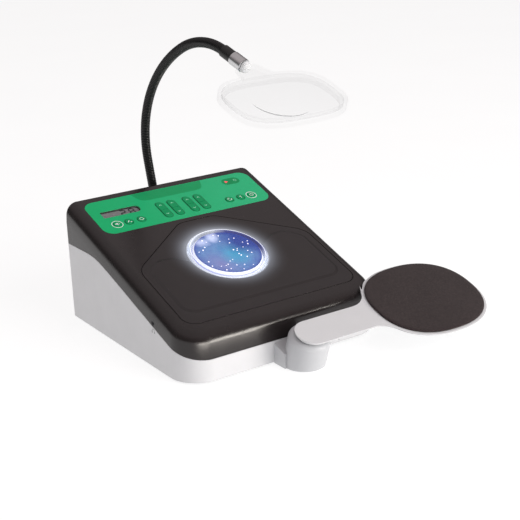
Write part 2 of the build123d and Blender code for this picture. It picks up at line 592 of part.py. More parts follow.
allp = Compound(children=[p for part in made.values() for p in part.solids()])
bb = allp.bounding_box()
print("nodes", len(made), "box", bb.min, bb.max, "plan centre", (bb.min.X + bb.max.X) / 2, (bb.min.Y + bb.max.Y) / 2)
print("axes: hose joints", [j - Vector(shift_x, shift_y, 0) for j in hose_joints], "swivel dir", along(gphi),
      "tip", tip - Vector(shift_x, shift_y, 0), "tip dir", de, "bend axis", side, "arm pivot", ao - Vector(shift_x, shift_y, 0), "deck normal", N,
      "head centre", hc - Vector(shift_x, shift_y, 0))
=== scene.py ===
import bpy, bmesh, json, math, random
from mathutils import Vector, Matrix


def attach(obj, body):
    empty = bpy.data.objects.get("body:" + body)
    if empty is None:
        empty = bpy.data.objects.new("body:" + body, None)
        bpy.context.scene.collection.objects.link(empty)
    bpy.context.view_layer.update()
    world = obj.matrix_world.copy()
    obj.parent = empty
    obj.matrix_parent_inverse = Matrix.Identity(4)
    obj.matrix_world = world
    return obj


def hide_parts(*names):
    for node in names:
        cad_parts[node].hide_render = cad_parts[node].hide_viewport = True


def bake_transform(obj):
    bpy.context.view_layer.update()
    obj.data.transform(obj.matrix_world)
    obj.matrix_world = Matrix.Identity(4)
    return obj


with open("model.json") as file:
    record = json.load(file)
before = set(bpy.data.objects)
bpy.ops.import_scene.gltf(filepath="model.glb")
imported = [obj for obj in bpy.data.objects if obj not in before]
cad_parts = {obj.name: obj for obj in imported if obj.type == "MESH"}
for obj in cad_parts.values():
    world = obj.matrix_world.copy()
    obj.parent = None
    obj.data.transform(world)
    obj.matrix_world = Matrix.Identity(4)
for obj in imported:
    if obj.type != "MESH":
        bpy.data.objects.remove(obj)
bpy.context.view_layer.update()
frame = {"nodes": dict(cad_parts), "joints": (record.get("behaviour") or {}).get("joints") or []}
nodes = frame["nodes"]

# ------------------------------------------------------------------ numbers shared with the CAD (mm)
SLOPE = math.radians(18.8)
S, C, T = math.sin(SLOPE), math.cos(SLOPE), math.tan(SLOPE)
joint = {j["name"]: j for j in frame["joints"]}
SHIFT = Vector((0.77887, 142.79757, 110.0)) - Vector(joint["gooseneck_swivel"]["pos_m"]) * 1000


def W(p):
    """Housing axes in mm to the row frame in m."""
    return (Vector(p) - SHIFT) * 0.001


def D(x, v, n):
    """Deck axes (across, up the slope, proud of the deck) in mm to the row frame."""
    return W((x, v * C - n * S, 96.6 + v * S + n * C))


# ------------------------------------------------------------------ camera
a, e, r = math.radians(-33.58387), math.radians(19.15632), math.radians(-2.08146)
back = Vector((math.sin(a) * math.cos(e), -math.cos(a) * math.cos(e), math.sin(e)))
right = Vector((0, 0, 1)).cross(back).normalized()
up = back.cross(right)
right2 = math.cos(r) * right + math.sin(r) * up
up2 = -math.sin(r) * right + math.cos(r) * up
cam_data = bpy.data.cameras.new("view")
cam_data.sensor_width = 36.0
cam_data.lens = 83.99
cam_data.clip_start, cam_data.clip_end = 0.05, 60
cam = bpy.data.objects.new("view", cam_data)
bpy.context.scene.collection.objects.link(cam)
m = Matrix.Identity(4)
for i in range(3):
    m[i][0], m[i][1], m[i][2] = right2[i], up2[i], back[i]
m.translation = W((-677.173, -1100.772, 523.167))
cam.matrix_world = m
bpy.context.scene.camera = cam
bpy.context.scene.view_settings.view_transform = "Standard"
bpy.context.scene.view_settings.look = "None"

# ------------------------------------------------------------------ node helpers


class Tree:
    def __init__(self, name):
        self.m = bpy.data.materials.new(name)
        self.m.use_nodes = True
        self.t = self.m.node_tree
        self.b = self.t.nodes["Principled BSDF"]
        self.out = self.t.nodes["Material Output"]
        self.co = self.t.nodes.new("ShaderNodeTexCoord").outputs["Object"]

    def n(self, kind, **kw):
        node = self.t.nodes.new(kind)
        for k, v in kw.items():
            setattr(node, k, v)
        return node

    def link(self, x, y):
        self.t.links.new(x, y)

    def val(self, sock, x):
        if hasattr(x, "links"):
            self.link(x, sock)
        else:
            sock.default_value = x

    def noise(self, scale, detail=3.0, rough=0.5, co=None, distortion=0.0):
        n = self.n("ShaderNodeTexNoise")
        n.inputs["Scale"].default_value = scale
        n.inputs["Detail"].default_value = detail
        n.inputs["Roughness"].default_value = rough
        n.inputs["Distortion"].default_value = distortion
        self.link(co or self.co, n.inputs["Vector"])
        return n.outputs["Fac"]

    def voronoi(self, scale, co=None, feature="F1"):
        n = self.n("ShaderNodeTexVoronoi", feature=feature)
        n.inputs["Scale"].default_value = scale
        self.link(co or self.co, n.inputs["Vector"])
        return n

    def math(self, op, x, y=0.0, z=None, clamp=False):
        n = self.n("ShaderNodeMath", operation=op, use_clamp=clamp)
        self.val(n.inputs[0], x)
        self.val(n.inputs[1], y)
        if z is not None:
            self.val(n.inputs[2], z)
        return n.outputs[0]

    def ramp(self, fac, stops, interp="LINEAR"):
        n = self.n("ShaderNodeValToRGB")
        n.color_ramp.interpolation = interp
        el = n.color_ramp.elements
        while len(el) > 1:
            el.remove(el[-1])
        el[0].position, el[0].color = stops[0][0], (*stops[0][1], 1) if hasattr(stops[0][1], "__len__") else (stops[0][1],) * 3 + (1,)
        for p, c in stops[1:]:
            s = el.new(p)
            s.color = (*c, 1) if hasattr(c, "__len__") else (c, c, c, 1)
        self.link(fac, n.inputs["Fac"])
        return n.outputs["Color"]

    def mix(self, fac, x, y, mode="MIX"):
        n = self.n("ShaderNodeMix", data_type="RGBA", blend_type=mode)
        self.val(n.inputs[0], fac)
        for s, v in ((n.inputs[6], x), (n.inputs[7], y)):
            if hasattr(v, "links"):
                self.link(v, s)
            else:
                s.default_value = (*v, 1)
        return n.outputs[2]

    def remap(self, x, a0, a1, b0, b1):
        n = self.n("ShaderNodeMapRange")
        self.link(x, n.inputs[0])
        for i, v in enumerate((a0, a1, b0, b1)):
            n.inputs[i + 1].default_value = v
        return n.outputs[0]

    def rotated(self, rot, scale=(1, 1, 1), loc=(0, 0, 0)):
        n = self.n("ShaderNodeMapping")
        n.inputs["Rotation"].default_value = rot
        n.inputs["Scale"].default_value = scale
        n.inputs["Location"].default_value = loc
        self.link(self.co, n.inputs["Vector"])
        return n.outputs[0]

    def bump(self, height, strength, distance, normal=None):
        n = self.n("ShaderNodeBump")
        n.inputs["Strength"].default_value = strength
        n.inputs["Distance"].default_value = distance
        self.link(height, n.inputs["Height"])
        if normal is not None:
            self.link(normal, n.inputs["Normal"])
        return n.outputs[0]

    def distance(self, p, co=None):
        n = self.n("ShaderNodeVectorMath", operation="DISTANCE")
        self.link(co or self.co, n.inputs[0])
        n.inputs[1].default_value = p
        return n.outputs["Value"]


def shade(t, base, rough=0.4, metal=0.0, spec=0.5, vary=0.05, vary_scale=35.0, grain=0.15, grain_scale=1400.0,
          grain_depth=0.00012, rough_vary=0.06, coat=0.0, coat_rough=0.08, extra_bump=None):
    """Colour variation, roughness variation and a fine moulded grain on the tree's own shader."""
    dark = tuple(c * (1 - vary) for c in base)
    lite = tuple(min(1, c * (1 + vary)) for c in base)
    f = t.noise(vary_scale, 4, 0.6)
    t.link(t.mix(t.remap(f, 0.3, 0.7, 0, 1), dark, lite), t.b.inputs["Base Color"])
    g = t.noise(vary_scale * 3.1, 3, 0.55)
    t.link(t.remap(g, 0.25, 0.75, max(0.02, rough - rough_vary), min(1, rough + rough_vary)), t.b.inputs["Roughness"])
    t.b.inputs["Metallic"].default_value = metal
    t.b.inputs["Specular IOR Level"].default_value = spec
    if coat:
        t.b.inputs["Coat Weight"].default_value = coat
        t.b.inputs["Coat Roughness"].default_value = coat_rough
    if grain:
        t.link(t.bump(t.noise(grain_scale, 2, 0.5), grain, grain_depth, extra_bump), t.b.inputs["Normal"])
    return t


def plain(name, base, **kw):
    return shade(Tree(name), base, **kw).m


def lin(*rgb):
    """8-bit display colour to scene linear."""
    return tuple(((c / 255 + 0.055) / 1.055) ** 2.4 if c > 10 else c / 255 / 12.92 for c in rgb)


# ------------------------------------------------------------------ materials
COVER = (0.0125, 0.0088, 0.0088)
M = {}
M["cover"] = plain("cover_plastic", COVER, rough=0.25, spec=0.5, vary=0.08, vary_scale=22, grain=0.22, grain_scale=2600, grain_depth=0.00006, rough_vary=0.035)
M["shell"] = plain("shell_plastic", lin(214, 214, 216), rough=0.42, spec=0.4, vary=0.02, grain=0.1, grain_scale=2200, grain_depth=0.00005)
M["steel_black"] = plain("base_plate_paint", (0.02, 0.02, 0.022), rough=0.55, vary=0.2, grain=0.35, grain_scale=900)
M["rubber"] = plain("rubber", (0.018, 0.018, 0.018), rough=0.75, vary=0.25, grain=0.4, grain_scale=1500)


def brushed(name, base, rough, stretch=(1, 1, 1), rot=(0, 0, 0), scale=1200, strength=0.25):
    t = Tree(name)
    co = t.rotated(rot, stretch)
    f = t.noise(scale, 4, 0.7, co=co)
    t.link(t.mix(t.remap(f, 0.3, 0.7, 0, 1), tuple(c * 0.86 for c in base), tuple(min(1, c * 1.1) for c in base)), t.b.inputs["Base Color"])
    t.link(t.remap(f, 0.25, 0.75, rough - 0.07, rough + 0.08), t.b.inputs["Roughness"])
    t.b.inputs["Metallic"].default_value = 1.0
    t.link(t.bump(f, strength, 0.00004), t.b.inputs["Normal"])
    return t.m


M["screw"] = brushed("screw_steel", (0.62, 0.62, 0.64), 0.3, scale=2500)
M["pin"] = brushed("pin_steel", (0.6, 0.6, 0.62), 0.28, stretch=(1, 1, 0.1), scale=1600)
M["brass"] = brushed("bush_brass", (0.72, 0.55, 0.26), 0.35, scale=1500)
M["sensor"] = brushed("sensor_aluminium", (0.8, 0.8, 0.82), 0.35, scale=1100)
M["domes"] = brushed("dome_steel", (0.75, 0.75, 0.75), 0.3, scale=1800)


def green_film(name, base, rough=0.36, emboss=0.12, coat=0.0, spec=0.35):
    t = shade(Tree(name), base, rough=rough, spec=spec, vary=0.035, vary_scale=40, grain=emboss, grain_scale=3400,
              grain_depth=0.00004, coat=coat, coat_rough=0.2)
    return t.m


GREEN = lin(18, 181, 116)
DARK_GREEN = lin(3, 154, 92)
KEY_GREEN = lin(2, 148, 90)
t = Tree("panel_film")              # printed film, a shade paler towards the right, where the paleness is a painted sheen
g = t.n("ShaderNodeSeparateXYZ")
t.link(t.co, g.inputs[0])
shade(t, GREEN, rough=0.36, spec=0.22, vary=0.03, vary_scale=40, grain=0.12, grain_scale=3400, grain_depth=0.00004)
f = t.noise(40, 3)
deep = t.mix(f, lin(2, 172, 104), lin(4, 178, 110))
pale = t.mix(f, lin(38, 178, 120), lin(44, 184, 126))
t.link(t.mix(t.remap(g.outputs[0], D(-100, 90, 0).x, D(60, 90, 0).x, 0, 1), deep, pale), t.b.inputs["Base Color"])
M["panel"] = t.m
M["banner"] = green_film("panel_banner_ink", DARK_GREEN, spec=0.25)
M["key"] = green_film("key_caps", KEY_GREEN, rough=0.42, spec=0.2)
M["key_rim"] = green_film("key_rim_ink", lin(10, 120, 76))
M["white_ink"] = plain("white_ink", (0.86, 0.9, 0.88), rough=0.45, vary=0.04, grain=0.1, grain_scale=3000)
M["pale_ink"] = plain("pale_key_ink", lin(150, 226, 190), rough=0.45, vary=0.06, grain=0.1, grain_scale=3000)
M["grey_ink"] = plain("grey_ink", lin(120, 120, 122), rough=0.5, vary=0.05, grain=0.1, grain_scale=3000)

t = Tree("display_window")          # clear window over the liquid crystal
f = t.noise(60, 3)
t.link(t.mix(f, (0.30, 0.31, 0.31), (0.36, 0.37, 0.37)), t.b.inputs["Base Color"])
t.b.inputs["Roughness"].default_value = 0.12
t.b.inputs["Alpha"].default_value = 0.05
t.link(t.bump(t.noise(500, 2), 0.03, 0.00005), t.b.inputs["Normal"])
M["window"] = t.m
t = Tree("lcd_backing")
g = t.n("ShaderNodeSeparateXYZ")
t.link(t.rotated((-SLOPE, 0, 0)), g.inputs[0])
f = t.noise(700, 3)
t.link(t.mix(t.remap(f, 0.2, 0.8, 0, 1), lin(118, 115, 118), lin(134, 131, 134)), t.b.inputs["Base Color"])
t.b.inputs["Roughness"].default_value = 0.5
t.link(t.bump(t.noise(2500, 2), 0.1, 0.00003), t.b.inputs["Normal"])
M["lcd"] = t.m
M["lcd_ink"] = plain("lcd_segments", (0.006, 0.007, 0.008), rough=0.5, spec=0.2, vary=0.3, grain=0.1, grain_scale=3000)

M["electronics"] = plain("component_plastic", (0.035, 0.035, 0.04), rough=0.5, vary=0.2, grain=0.3)
M["socket"] = plain("socket_plastic", (0.022, 0.022, 0.024), rough=0.42, vary=0.15, grain=0.3, grain_scale=1800)
M["cushion"] = plain("cushion_foam", (0.07, 0.07, 0.075), rough=0.85, vary=0.3, grain=0.6, grain_scale=900, grain_depth=0.0004)
t = shade(Tree("indicator_lens"), lin(3, 142, 84), rough=0.3, spec=0.2, vary=0.08, grain=0.05)
M["indicator"] = t.m
# red pointer ink with a painted glow, though it is print
t = Tree("red_marker")
f = t.noise(600, 2)
t.link(t.mix(f, (0.75, 0.03, 0.06), (0.9, 0.06, 0.1)), t.b.inputs["Base Color"])
t.link(t.mix(f, (1.0, 0.05, 0.1), (1.0, 0.1, 0.16)), t.b.inputs["Emission Color"])
t.b.inputs["Emission Strength"].default_value = 0.55
t.b.inputs["Roughness"].default_value = 0.3
M["red"] = t.m

t = Tree("circuit_board")           # green solder mask with lighter copper tracks
v = t.voronoi(260, feature="DISTANCE_TO_EDGE")
line = t.remap(v.outputs["Distance"], 0.02, 0.05, 1, 0)
t.link(t.mix(line, (0.006, 0.07, 0.035), (0.02, 0.2, 0.09)), t.b.inputs["Base Color"])
t.b.inputs["Roughness"].default_value = 0.35
t.link(t.bump(line, 0.3, 0.00005), t.b.inputs["Normal"])
M["pcb"] = t.m
t = Tree("led_circuit_board")
v = t.voronoi(240, feature="DISTANCE_TO_EDGE")
line = t.remap(v.outputs["Distance"], 0.02, 0.05, 1, 0)
t.link(t.mix(line, (0.75, 0.76, 0.74), (0.6, 0.6, 0.56)), t.b.inputs["Base Color"])
t.b.inputs["Roughness"].default_value = 0.4
M["led_pcb"] = t.m

# pressure pad: the cover's plastic, with a painted glow of the stage's light falling off round the dish
DISH = D(-2.5, -21.5, 0)
t = Tree("pad_plastic")
shade(t, COVER, rough=0.31, spec=0.5, vary=0.08, vary_scale=22, grain=0.22, grain_scale=2600, grain_depth=0.00006, rough_vary=0.035)
dist = t.distance(DISH)
wob = t.math("ADD", dist, t.math("MULTIPLY", t.math("SUBTRACT", t.noise(26, 2), 0.5), 0.006))
back = t.distance(D(-1.0, -14.0, 0))      # the halo reaches a little farther behind the dish
wob = t.math("ADD", t.math("MULTIPLY", wob, 0.7), t.math("MULTIPLY", t.math("ADD", back, 0.0005), 0.3))
glow = t.ramp(t.remap(wob, 0.0450, 0.0700, 0, 1), [(0.0, 1.0), (0.10, 0.66), (0.24, 0.36), (0.44, 0.14), (0.68, 0.035), (1.0, 0.0)], "B_SPLINE")
t.link(t.mix(1.0, glow, (0.80, 0.86, 1.0), "MULTIPLY"), t.b.inputs["Emission Color"])
t.b.inputs["Emission Strength"].default_value = 0.42
M["pad"] = t.m

def painted_far_blue(t):
    """Mask for painted blue: 1 on the back right side of the dish, where the gel seen through its wall is painted in,
    0 elsewhere.
    """
    return t.remap(t.distance(D(33.9, -0.5, 0)), 0.023, 0.037, 1.0, 0.0)


# light ring of the lit stage, with painted blue at the back right where the gel would show through the dish's wall
t = Tree("light_ring")
f = t.noise(160, 3)
fall = t.remap(t.distance(D(-2.5, -21.5, 0)), 0.0453, 0.0466, 0.0, 1.0)
far = painted_far_blue(t)
t.link(t.mix(fall, t.mix(far, t.mix(f, (0.50, 0.53, 0.58), (0.60, 0.62, 0.66)), (0.07, 0.07, 0.36)), (0.16, 0.17, 0.19)), t.b.inputs["Base Color"])
t.link(t.mix(fall, t.mix(far, t.mix(f, (0.66, 0.72, 1.0), (0.95, 0.97, 1.0)), (0.09, 0.09, 0.48)), (0.42, 0.47, 0.56)), t.b.inputs["Emission Color"])
t.b.inputs["Emission Strength"].default_value = 0.28
t.b.inputs["Roughness"].default_value = 0.3
M["ring"] = t.m
t = Tree("dish_edge")                # painted highlight: a glowing white line round the dish's edge
f = t.noise(70, 2)
t.link(t.mix(f, (0.78, 0.84, 1.0), (0.98, 0.99, 1.0)), t.b.inputs["Base Color"])
t.link(t.mix(f, (0.75, 0.82, 1.0), (0.95, 0.97, 1.0)), t.b.inputs["Emission Color"])
t.b.inputs["Emission Strength"].default_value = 0.45
t.b.inputs["Roughness"].default_value = 0.2
M["edge_line"] = t.m
t = Tree("stage_diffuser")
f = t.noise(90, 3)
t.link(t.mix(f, (0.86, 0.92, 1.0), (0.98, 0.99, 1.0)), t.b.inputs["Base Color"])
t.link(t.mix(f, (0.6, 0.75, 1.0), (0.85, 0.93, 1.0)), t.b.inputs["Emission Color"])
t.b.inputs["Emission Strength"].default_value = 0.45
t.b.inputs["Roughness"].default_value = 0.5
M["diffuser"] = t.m


def clear(name, tint, alpha, rough=0.06, emit=None, emit_strength=0.0, rim=0.55, f0=0.15, f1=0.95, blue=None):
    """Thin clear polystyrene: see-through face on, milky towards grazing, with an optional painted glow and painted
    blue on the far side.
    """
    t = Tree(name)
    lw = t.n("ShaderNodeLayerWeight")
    lw.inputs["Blend"].default_value = 0.35
    f = t.noise(45, 3)
    base = t.mix(t.remap(f, 0.3, 0.7, 0, 1), tuple(c * 0.97 for c in tint), tint)
    t.link(t.mix(painted_far_blue(t), base, blue) if blue else base, t.b.inputs["Base Color"])
    t.link(t.remap(lw.outputs["Facing"], f0, f1, alpha, rim), t.b.inputs["Alpha"])
    t.b.inputs["Roughness"].default_value = rough
    t.link(t.bump(t.noise(30, 2), 0.04, 0.0004), t.b.inputs["Normal"])
    if emit:
        glow = t.mix(f, emit, tuple(min(1, c * 1.1) for c in emit))
        t.link(t.mix(painted_far_blue(t), glow, blue) if blue else glow, t.b.inputs["Emission Color"])
        t.b.inputs["Emission Strength"].default_value = emit_strength
    return t.m


M["dish"] = clear("dish_polystyrene", (0.86, 0.91, 1.0), 0.02, emit=(0.75, 0.82, 1.0), emit_strength=0.12, rim=0.50, f0=0.36, blue=(0.10, 0.11, 0.45))
M["lid"] = clear("lid_polystyrene", (0.92, 0.95, 1.0), 0.06, emit=(0.86, 0.9, 1.0), emit_strength=0.25, rim=0.7, f0=0.34, blue=(0.09, 0.10, 0.42))

t = Tree("agar")                    # nutrient gel with a painted backlit glow: blue and violet with a teal pool off centre
d0 = t.distance(D(6.0, -25.0, 1))
d1 = t.distance(D(-20.0, -38.0, 1))
d2 = t.distance(D(-2.5, -21.5, 1))
n1 = t.math("SUBTRACT", t.noise(48, 4, 0.6), 0.5)
teal = t.math("MULTIPLY", t.ramp(t.math("ADD", t.remap(d0, 0.0, 0.030, 0, 1), t.math("MULTIPLY", n1, 0.9)), [(0.0, 1.0), (0.35, 0.7), (0.75, 0.12), (1.0, 0.0)]), 0.85)
viol = t.math("MULTIPLY", t.ramp(t.math("ADD", t.remap(d1, 0.0, 0.026, 0, 1), t.math("MULTIPLY", n1, 0.8)), [(0.0, 1.0), (0.5, 0.5), (1.0, 0.0)]), 0.75)
edge = t.ramp(t.remap(d2, 0.028, 0.0387, 0, 1), [(0.0, 0.0), (0.55, 0.25), (1.0, 1.0)])
body_c = t.mix(t.remap(t.noise(85, 4, 0.7), 0.3, 0.7, 0, 1), (0.070, 0.135, 0.37), (0.110, 0.225, 0.44))
body_c = t.mix(viol, body_c, (0.18, 0.16, 0.38))
body_c = t.mix(teal, body_c, (0.022, 0.29, 0.46))
body_c = t.mix(edge, body_c, (0.028, 0.05, 0.27))
d3 = t.distance(D(29.0, -4.0, 1))       # deeper blue towards the back right
body_c = t.mix(t.remap(t.math("ADD", d3, t.math("MULTIPLY", n1, 0.02)), 0.012, 0.036, 0.92, 0.0), body_c, (0.028, 0.05, 0.25))
c1 = t.distance(D(-20.0, 6.5, 1))      # painted reflection, pale, in the lid at the back left
c2 = t.distance(D(-5.0, 10.0, 1))
painted_lid_reflection = t.math("MINIMUM", c1, c2)
body_c = t.mix(t.remap(t.math("ADD", painted_lid_reflection, t.math("MULTIPLY", n1, 0.016)), 0.001, 0.0105, 0.72, 0.0), body_c, (0.62, 0.68, 0.92))
t.link(body_c, t.b.inputs["Base Color"])
t.link(body_c, t.b.inputs["Emission Color"])
t.b.inputs["Emission Strength"].default_value = 0.42
t.b.inputs["Roughness"].default_value = 0.3
t.b.inputs["Specular IOR Level"].default_value = 0.25
t.link(t.bump(t.noise(120, 3), 0.1, 0.0003), t.b.inputs["Normal"])
M["agar"] = t.m
# colonies glow with painted backlight
t = Tree("colonies")
f = t.noise(900, 2)
t.link(t.mix(f, (0.92, 0.85, 0.95), (1.0, 1.0, 1.0)), t.b.inputs["Base Color"])
t.link(t.mix(f, (0.9, 0.8, 0.95), (1.0, 1.0, 1.0)), t.b.inputs["Emission Color"])
t.b.inputs["Emission Strength"].default_value = 0.75
t.b.inputs["Roughness"].default_value = 0.35
M["colony"] = t.m

M["arm"] = plain("arm_paint", lin(206, 206, 208), rough=0.38, spec=0.45, vary=0.02, grain=0.12, grain_scale=2600, grain_depth=0.00005)
# tower paint set a shade darker than the arm's: painted shade
M["bracket"] = plain("bracket_paint", lin(192, 193, 196), rough=0.4, spec=0.45, vary=0.02, grain=0.12, grain_scale=2600, grain_depth=0.00005)

t = Tree("wrist_fabric")            # dark close-woven cover with a paler fleck at each crossing
co = t.rotated((-SLOPE, 0, 0))
sx = t.n("ShaderNodeSeparateXYZ")
wob = t.n("ShaderNodeTexNoise")
wob.inputs["Scale"].default_value = 130
t.link(co, wob.inputs["Vector"])
mv = t.n("ShaderNodeVectorMath", operation="MULTIPLY_ADD")
t.link(wob.outputs["Color"], mv.inputs[0])
mv.inputs[1].default_value = (0.0007, 0.0007, 0.0)
t.link(co, mv.inputs[2])
t.link(mv.outputs[0], sx.inputs[0])
k = 2 * math.pi / 0.0030
p = t.math("MULTIPLY", t.math("ADD", sx.outputs[0], sx.outputs[1]), k)
q = t.math("MULTIPLY", t.math("SUBTRACT", sx.outputs[0], sx.outputs[1]), k)
weave = t.math("MULTIPLY", t.math("COSINE", p), t.math("COSINE", q))
fine = t.math("MULTIPLY", t.math("SINE", t.math("MULTIPLY", sx.outputs[0], k * 2.6)), t.math("SINE", t.math("MULTIPLY", sx.outputs[1], k * 2.6)))
hgt = t.math("ADD", t.math("MULTIPLY", weave, 0.5), t.math("MULTIPLY", fine, 0.3))
fl = t.math("MULTIPLY", t.remap(weave, 0.45, 0.95, 0, 1), t.remap(t.noise(420, 2), 0.35, 0.65, 0.15, 1))
base = t.mix(t.remap(t.noise(18, 4), 0.3, 0.7, 0, 1), lin(45, 37, 38), lin(55, 46, 47))
# darker in the hollows of the weave: painted shade
base = t.mix(t.remap(hgt, -0.6, 0.6, 0.6, 0), base, lin(22, 16, 17))
t.link(t.mix(t.math("MULTIPLY", fl, 0.85), base, lin(112, 97, 94)), t.b.inputs["Base Color"])
t.b.inputs["Roughness"].default_value = 0.92
t.b.inputs["Specular IOR Level"].default_value = 0.2
t.b.inputs["Sheen Weight"].default_value = 0.12
t.b.inputs["Sheen Roughness"].default_value = 0.5
t.link(t.bump(hgt, 0.6, 0.0003), t.b.inputs["Normal"])
M["fabric"] = t.m
M["foam_edge"] = plain("pad_edge_binding", lin(46, 36, 38), rough=0.8, vary=0.12, grain=0.5, grain_scale=1600, grain_depth=0.0002)

M["hose"] = plain("hose_black", (0.004, 0.004, 0.0044), rough=0.27, spec=0.4, vary=0.2, vary_scale=120, grain=0.1, grain_scale=1800)
M["sleeve"] = plain("sleeve_black", (0.008, 0.008, 0.008), rough=0.4, vary=0.2, grain=0.25, grain_scale=1500)
t = Tree("ferrule_brushed")         # turned and brushed round its axis
axis = Vector(joint["magnifier_roll"]["axis"])
dot = t.n("ShaderNodeVectorMath", operation="DOT_PRODUCT")
t.link(t.co, dot.inputs[0])
dot.inputs[1].default_value = axis
cmb = t.n("ShaderNodeCombineXYZ")
t.link(dot.outputs["Value"], cmb.inputs[0])
f = t.noise(5200, 5, 0.8, co=cmb.outputs[0])
f2 = t.noise(140, 3)
t.link(t.mix(t.remap(f, 0.3, 0.7, 0, 1), (0.50, 0.50, 0.51), (0.74, 0.74, 0.75)), t.b.inputs["Base Color"])
t.link(t.remap(f2, 0.3, 0.7, 0.24, 0.36), t.b.inputs["Roughness"])
t.b.inputs["Metallic"].default_value = 1.0
t.b.inputs["Anisotropic"].default_value = 0.5
t.link(t.bump(f, 0.12, 0.00003), t.b.inputs["Normal"])
M["ferrule"] = t.m


M["acrylic"] = clear("magnifier_acrylic", (0.34, 0.35, 0.36), 0.025, rough=0.04, rim=0.20, f0=0.3)
M["lens"] = clear("lens_acrylic", (0.30, 0.31, 0.32), 0.035, rough=0.02, rim=0.2, f0=0.3)

t = Tree("floor")
f = t.noise(5, 3)
t.link(t.mix(f, (0.32, 0.32, 0.32), (0.34, 0.34, 0.34)), t.b.inputs["Base Color"])
t.link(t.mix(f, (0.99, 0.99, 0.99), (1.0, 1.0, 1.0)), t.b.inputs["Emission Color"])
t.b.inputs["Emission Strength"].default_value = 0.78
t.b.inputs["Roughness"].default_value = 0.6
t.b.inputs["Specular IOR Level"].default_value = 0.1
M["floor"] = t.m

# ------------------------------------------------------------------ smoothing and edge softening for CAD nodes
def smoother(name, degrees):
    grp = bpy.data.node_groups.new(name, "GeometryNodeTree")
    grp.interface.new_socket("Geometry", in_out="INPUT", socket_type="NodeSocketGeometry")
    grp.interface.new_socket("Geometry", in_out="OUTPUT", socket_type="NodeSocketGeometry")
    gi, go = grp.nodes.new("NodeGroupInput"), grp.nodes.new("NodeGroupOutput")
    mg = grp.nodes.new("GeometryNodeMergeByDistance")
    mg.inputs["Distance"].default_value = 0.000002
    s1 = grp.nodes.new("GeometryNodeSetShadeSmooth")
    s1.domain = "FACE"
    s2 = grp.nodes.new("GeometryNodeSetShadeSmooth")
    s2.domain = "EDGE"
    s2.inputs["Shade Smooth"].default_value = False
    ea = grp.nodes.new("GeometryNodeInputMeshEdgeAngle")
    cp = grp.nodes.new("ShaderNodeMath")
    cp.operation = "GREATER_THAN"
    cp.inputs[1].default_value = math.radians(degrees)
    L = grp.links.new
    L(gi.outputs[0], mg.inputs["Geometry"])
    L(mg.outputs[0], s1.inputs["Geometry"])
    L(s1.outputs[0], s2.inputs["Geometry"])
    L(ea.outputs["Unsigned Angle"], cp.inputs[0])
    L(cp.outputs[0], s2.inputs["Selection"])
    L(s2.outputs[0], go.inputs[0])
    return grp


weld_33, weld_12 = smoother("weld_and_smooth", 33), smoother("weld_and_smooth_fine", 12)


def dress(name, mat, bevel=0.0, angle=38, segments=2, group=weld_33):
    o = nodes[name]
    me = o.data
    if "custom_normal" in me.attributes:
        me.attributes.remove(me.attributes["custom_normal"])
    me.materials.clear()
    me.materials.append(mat)
    g = o.modifiers.new("smooth", "NODES")
    g.node_group = group
    if bevel:
        b = o.modifiers.new("edge", "BEVEL")
        b.width = bevel * 0.001
        b.segments = segments
        b.limit_method = "ANGLE"
        b.angle_limit = math.radians(angle)
        b.use_clamp_overlap = True
        b.miter_outer = "MITER_SHARP"
    return o


def new_mesh(name, verts, faces, body, mat, sharp=33, smooth=True):
    me = bpy.data.meshes.new(name)
    me.from_pydata([tuple(v) for v in verts], [], faces)
    bm = bmesh.new()
    bm.from_mesh(me)
    bmesh.ops.recalc_face_normals(bm, faces=bm.faces[:])
    bm.to_mesh(me)
    bm.free()
    for p in me.polygons:
        p.use_smooth = smooth
    if smooth:
        me.set_sharp_from_angle(angle=math.radians(sharp))
    me.materials.append(mat)
    o = bpy.data.objects.new(name, me)
    bpy.context.scene.collection.objects.link(o)
    if body:
        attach(o, body)
    return o


def prisms(name, outlines, n0, n1, body, mat, place=D, sharp=33):
    """Closed plates from outlines in the deck's plane; an outline may be (outer, inner) for a ring."""
    verts, faces = [], []
    for o in outlines:
        outer, inner = o if isinstance(o, tuple) else (o, None)
        k = len(verts)
        n = len(outer)
        if inner is None:
            verts += [place(x, v, n0) for x, v in outer] + [place(x, v, n1) for x, v in outer]
            faces.append([k + i for i in range(n)][::-1])
            faces.append([k + n + i for i in range(n)])
            faces += [[k + i, k + (i + 1) % n, k + n + (i + 1) % n, k + n + i] for i in range(n)]
        else:
            for loop, z in ((outer, n0), (outer, n1), (inner, n1), (inner, n0)):
                verts += [place(x, v, z) for x, v in loop]
            for ring in range(4):
                a0, b0 = k + ring * n, k + ((ring + 1) % 4) * n
                faces += [[a0 + i, a0 + (i + 1) % n, b0 + (i + 1) % n, b0 + i] for i in range(n)]
    return new_mesh(name, verts, faces, body, mat, sharp=sharp)


def circle(x, v, r, n=40, a0=0.0, a1=2 * math.pi):
    full = abs(a1 - a0 - 2 * math.pi) < 1e-6
    m = n if full else n + 1
    return [(x + r * math.cos(a0 + (a1 - a0) * i / n), v + r * math.sin(a0 + (a1 - a0) * i / n)) for i in range(m)]


def arc_band(x, v, r, w, a0, a1, n=24):
    a0, a1 = math.radians(a0), math.radians(a1)
    return circle(x, v, r + w / 2, n, a0, a1) + circle(x, v, r - w / 2, n, a0, a1)[::-1]


def bar(x0, v0, x1, v1, w):
    d = Vector((x1 - x0, v1 - v0)).normalized()
    px, pv = -d.y * w / 2, d.x * w / 2
    return [(x0 + px, v0 + pv), (x0 - px, v0 - pv), (x1 - px, v1 - pv), (x1 + px, v1 + pv)]


